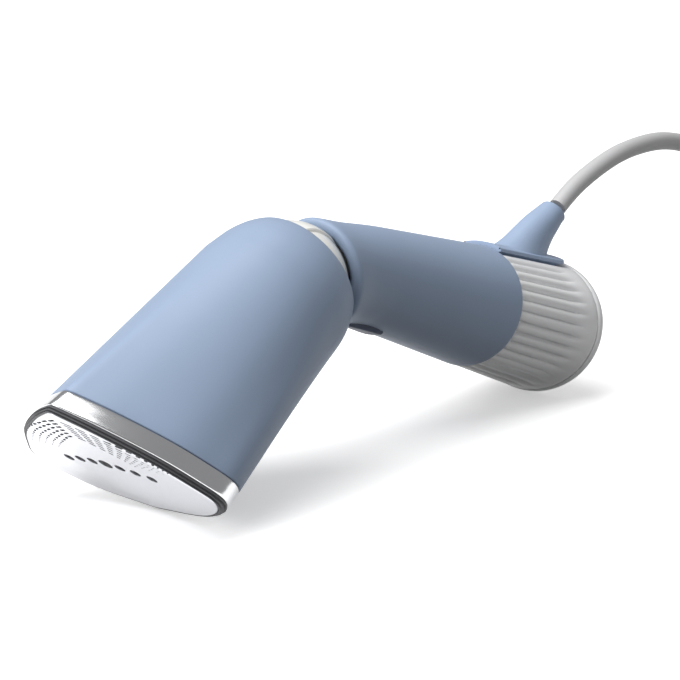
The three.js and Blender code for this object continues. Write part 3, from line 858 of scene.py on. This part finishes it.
# ---- Knuckle ---------------------------------------------------------------------------------
class STEAMER_OT_knuckle(bpy.types.Operator):
    """Makes the pearl ball of the fold joint"""

    bl_idname = "steamer.knuckle"
    bl_label = "Make the knuckle"

    def execute(self, context):
        broad, ball, step = 21.4, 20.5, 8.2
        half = [(18.6, 6.4), (18.4, 7.4)]
        half += [(k, sqrt(ball ** 2 - k ** 2)) for k in (18, 17, 16, 14.5, 13, 11.5, 10, 9, 8.5)]
        half += [(step, sqrt(ball ** 2 - step ** 2) - 0.15),
                 (step - 0.05, sqrt(broad ** 2 - step ** 2) - 0.3),
                 (step - 0.35, sqrt(broad ** 2 - (step - 0.35) ** 2))]
        half += [(k, sqrt(broad ** 2 - k ** 2)) for k in (6.5, 5, 3.5, 2, 0.7)]
        rows = half + [(-y, r) for y, r in reversed(half)]

        def point(row, side):
            y, radius = rows[row]
            turn = tau * side / 96
            return on_handle(JOINT_S + radius * cos(turn), y, JOINT_O + radius * sin(turn))

        knuckle = lofted("knuckle_ball", len(rows), 96, point, fill=True)
        neck = drum("neck", 12, 13, (LATERAL, OUTWARD, ALONG), on_handle(21.5, 0, -1.2), 48, 10)
        knuckle = join([knuckle, neck], "knuckle_ball")
        finish_piece(knuckle, "handle", MATERIALS["pearl"], ["knuckle"], angle=30)
        return {"FINISHED"}


# ---- Handle ----------------------------------------------------------------------------------
TRIGGER_MIDDLE, TRIGGER_LONG, TRIGGER_WIDE = 45.5, 23.0, 14.0


class STEAMER_OT_sleeve(bpy.types.Operator):
    """Makes the handle's sleeve with its rolled mouth"""

    bl_idname = "steamer.sleeve"
    bl_label = "Make the handle sleeve"

    def execute(self, context):
        mouth = [(23.4, 5.6), (22.8, 4.75), (22.2, 3.85), (21.8, 3.2), (21.6, 2.4), (21.5, 1.5),
                 (21.6, 0.7),
                 (21.9, 0.25), (22.5, 0.02), (23.2, -0.05)]
        body = [(24.5 + 1.5 * k, 0.0) for k in range(16)] + [(50 + 6 * k, 0.0) for k in range(10)]
        end = [(109.6, 0.0), (110.5, 0.0), (110.85, 0.12), (111.0, 0.4), (111.0, 1.9)]
        inner = [(100, 1.9), (70, 1.9), (47, 1.9), (38, 1.9), (30, 1.9), (26.5, 2.6), (24.6, 5.0)]
        rows = mouth + body + end + inner

        def point(row, side):
            s, inset = rows[row]
            return handle_point(s, inset, tau * side / 128)

        sleeve = lofted("handle_cover", len(rows), 128, point)
        opening = rounded_block("opening", (TRIGGER_LONG + 0.8, TRIGGER_WIDE + 0.8, 12),
                                HANDLE_MATRIX, on_handle(TRIGGER_MIDDLE, 0, -17), 4.5, 6)
        cut(sleeve, [opening])
        finish_piece(sleeve, "handle", MATERIALS["shell"], ["handle_sleeve"])
        return {"FINISHED"}


class STEAMER_OT_trigger(bpy.types.Operator):
    """Makes the trigger under the handle"""

    bl_idname = "steamer.trigger"
    bl_label = "Make the trigger"

    def execute(self, context):
        pad = rounded_block("trigger_pad", (TRIGGER_LONG, TRIGGER_WIDE, 6.6), HANDLE_MATRIX,
                            on_handle(TRIGGER_MIDDLE, 0, -16.25), 1.0, 4)
        edit(pad, lambda: bpy.ops.mesh.subdivide(number_cuts=3))
        for v in pad.data.vertices:
            local = v.co - HANDLE_ZERO
            across = local.dot(LATERAL) / MM
            out = local.dot(OUTWARD) / MM
            along = local.dot(ALONG) / MM - TRIGGER_MIDDLE
            if out < -16:
                dip = 0.9 * max(0.0, 1 - (along / 9) ** 2) * max(0.0, 1 - (across / 6.5) ** 2)
                v.co += OUTWARD * (0.022 * across ** 2 + dip) * MM
        bevel(pad, 0.5, 2, 50)
        finish_piece(pad, "trigger", MATERIALS["trigger"], ["trigger"])
        return {"FINISHED"}


SPUR = [
    # back edge s and o, front edge s and o, half thickness
    (114.5, 21.8, 149.5, 23.4, 9.3),
    (119.0, 23.0, 148.8, 24.6, 8.6),
    (123.0, 25.2, 148.5, 26.2, 7.9),
    (127.4, 28.8, 148.9, 28.6, 7.2),
    (132.0, 33.5, 150.1, 31.9, 6.6),
    (137.0, 38.4, 152.0, 35.4, 6.1),
    (142.4, 42.8, 153.6, 38.4, 5.5),
    (145.8, 45.6, 154.7, 39.5, 5.05),
]


class STEAMER_OT_spur(bpy.types.Operator):
    """Makes the cord's horn and the tongue that carries it over the tank"""

    bl_idname = "steamer.spur"
    bl_label = "Make the cord spur"

    def execute(self, context):
        rows, sides = 36, 64

        def horn(row, side):
            turn = tau * side / sides
            if row >= rows:
                shrink = (0.96, 0.86, 0.76, 0.75, 0.75)[row - rows]
                lift = (0.35, 0.5, 0.4, -1.5, -5.0)[row - rows]
                s0, o0, s1, o1, thick = SPUR[-1]
            else:
                shrink, lift = 1.0, 0.0
                s0, o0, s1, o1, thick = spline(SPUR, row / (rows - 1))
            along = 0.5 - 0.5 * shrink * cos(turn)
            s, o = lerp(s0, s1, along) + 0.647 * lift, lerp(o0, o1, along) + 0.762 * lift
            return on_handle(s, shrink * thick * sin(turn), o)

        spur = lofted("cord_horn", rows + 5, sides, horn)
        tongue = self.tongue()
        spur = join([spur, tongue], "cord_horn")
        finish_piece(spur, "handle", MATERIALS["spur"], ["cord_spur"])
        return {"FINISHED"}

    def tongue(self):
        """A curved strip flush with the tank, rounded at its far end and along its sides."""
        count, across = 40, 28

        def point(row, side):
            t = row / count
            s = lerp(SLEEVE_END + GAP, SADDLE_END, t)
            u = side / across * 2 - 1
            narrow = sqrt(max(0.0, 1 - max(0.0, (t - 0.82) / 0.18) ** 2.4)) * 0.55 + 0.45
            turn = SADDLE_HALF_TURN * 0.985 * u * narrow
            edge = max(0.0, abs(u) - 0.9) / 0.1
            fade = max(0.0, t - 0.97) / 0.03
            return handle_point(s, -1.5 + 1.1 * edge ** 2 + 1.0 * fade ** 2, turn)

        clear_selection()
        bpy.ops.mesh.primitive_grid_add(x_subdivisions=across, y_subdivisions=count, size=0.01)
        strip = bpy.context.object
        strip.name = "tongue"
        for k, v in enumerate(strip.data.vertices):
            v.co = point(k // (across + 1), k % (across + 1))
        edit(strip, face_out)
        if strip.data.polygons[0].normal.dot(OUTWARD) < 0:
            edit(strip, bpy.ops.mesh.flip_normals)
        solidify(strip, 3.4)
        bevel(strip, 0.5, 3, 50)
        return strip


# ---- Tank ------------------------------------------------------------------------------------
class STEAMER_OT_tank(bpy.types.Operator):
    """Makes the ribbed water tank and its end cap"""

    bl_idname = "steamer.tank"
    bl_label = "Make the water tank"

    def execute(self, context):
        look = context.scene.steamer_look
        sides = look.rib_count * 12
        depth = look.rib_depth / MM
        front = [(SLEEVE_END - 2.5, 2.6), (SLEEVE_END + 0.25, 2.6), (SLEEVE_END + 0.3, 0.9),
                 (SLEEVE_END + 0.5, 0.5), (SLEEVE_END + 1.0, 0.35)]
        body = [(lerp(SLEEVE_END + 2.0, TANK_END - 0.7, k / 26), 0.3) for k in range(27)]
        end = [(TANK_END - 0.35, 0.45), (TANK_END - 0.3, 0.9), (TANK_END - 0.3, 3.0)]
        rows = front + body + end
        groove = SADDLE_HALF_TURN + radians(1.2)

        def point(row, side):
            s, inset = rows[row]
            turn = tau * side / sides
            from_top = abs((turn + pi) % tau - pi)
            rib = depth * (1 - abs(sin(look.rib_count / 2 * turn)) ** 0.75)
            rib *= 1 - smooth_step(140, 150.5, s)
            rib *= smooth_step(groove + radians(3), groove + radians(9), from_top)
            if SLEEVE_END < s < TANK_END - 0.1:
                sink = 1 - smooth_step(groove - radians(0.5), groove + radians(1.2), from_top)
                inset += 3.2 * sink
            return handle_point(s, inset + rib, turn)

        tank = lofted("tank_body", len(rows), sides, point)
        finish_piece(tank, "tank", MATERIALS["tank"], ["tank_shell"], angle=55)

        cap_rows = [
            (TANK_END, 3.0), (TANK_END, 0.75), (TANK_END + 0.1, 0.35), (TANK_END + 0.4, 0.15),
            (TANK_END + 1.2, 0.1), (FOOT_END - 1.3, 0.15), (FOOT_END - 0.6, 0.5),
            (FOOT_END - 0.15, 1.2), (FOOT_END, 2.0), (FOOT_END, 4.2), (FOOT_END - 0.5, 4.8),
            (FOOT_END - 0.5, 9.0),
        ]

        def cap_point(row, side):
            s, inset = cap_rows[row]
            return handle_point(s, inset, tau * side / 144)

        cap = lofted("tank_cap", len(cap_rows), 144, cap_point, fill=True)
        finish_piece(cap, "tank", MATERIALS["tank"], ["tank_foot"])
        return {"FINISHED"}


# ---- Inner pieces ----------------------------------------------------------------------------
class STEAMER_OT_inner(bpy.types.Operator):
    """Gives each CAD piece that stays its own finish"""

    bl_idname = "steamer.inner"
    bl_label = "Finish the inner pieces"

    def execute(self, context):
        slots = {p["node"]: p["material_slot"] for p in RECORD["subparts"]}
        for name, obj in frame["nodes"].items():
            obj.data.materials.clear()
            obj.data.materials.append(MATERIALS[SLOT_LOOKS[slots[name]]])
        return {"FINISHED"}


class STEAMER_PT_sidebar(bpy.types.Panel):
    """Lists the steps that build the steamer"""

    bl_idname = "STEAMER_PT_sidebar"
    bl_label = "Garment steamer"
    bl_space_type = "VIEW_3D"
    bl_region_type = "UI"
    bl_category = "Steamer"

    def draw(self, context):
        for step in STEPS:
            self.layout.operator(step.bl_idname)
        for group in (context.scene.steamer_look, context.scene.steamer_stage):
            for key in group.__annotations__:
                self.layout.prop(group, key)


STEPS = (
    STEAMER_OT_stage, STEAMER_OT_cord, STEAMER_OT_inner, STEAMER_OT_head, STEAMER_OT_band,
    STEAMER_OT_gasket, STEAMER_OT_plate, STEAMER_OT_knuckle, STEAMER_OT_sleeve,
    STEAMER_OT_trigger, STEAMER_OT_spur, STEAMER_OT_tank,
)
CLASSES = (SteamerLook, StageLook, *STEPS, STEAMER_PT_sidebar)


def register():
    for cls in CLASSES:
        bpy.utils.register_class(cls)
    bpy.types.Scene.steamer_look = PointerProperty(type=SteamerLook)
    bpy.types.Scene.steamer_stage = PointerProperty(type=StageLook)


def unregister():
    del bpy.types.Scene.steamer_stage
    del bpy.types.Scene.steamer_look
    for cls in reversed(CLASSES):
        bpy.utils.unregister_class(cls)


def main():
    register()
    MATERIALS.update(make_materials(bpy.context.scene.steamer_look))
    for step in STEPS:
        group, name = step.bl_idname.split(".")
        getattr(getattr(bpy.ops, group), name)()


if __name__ == "__main__":
    main()
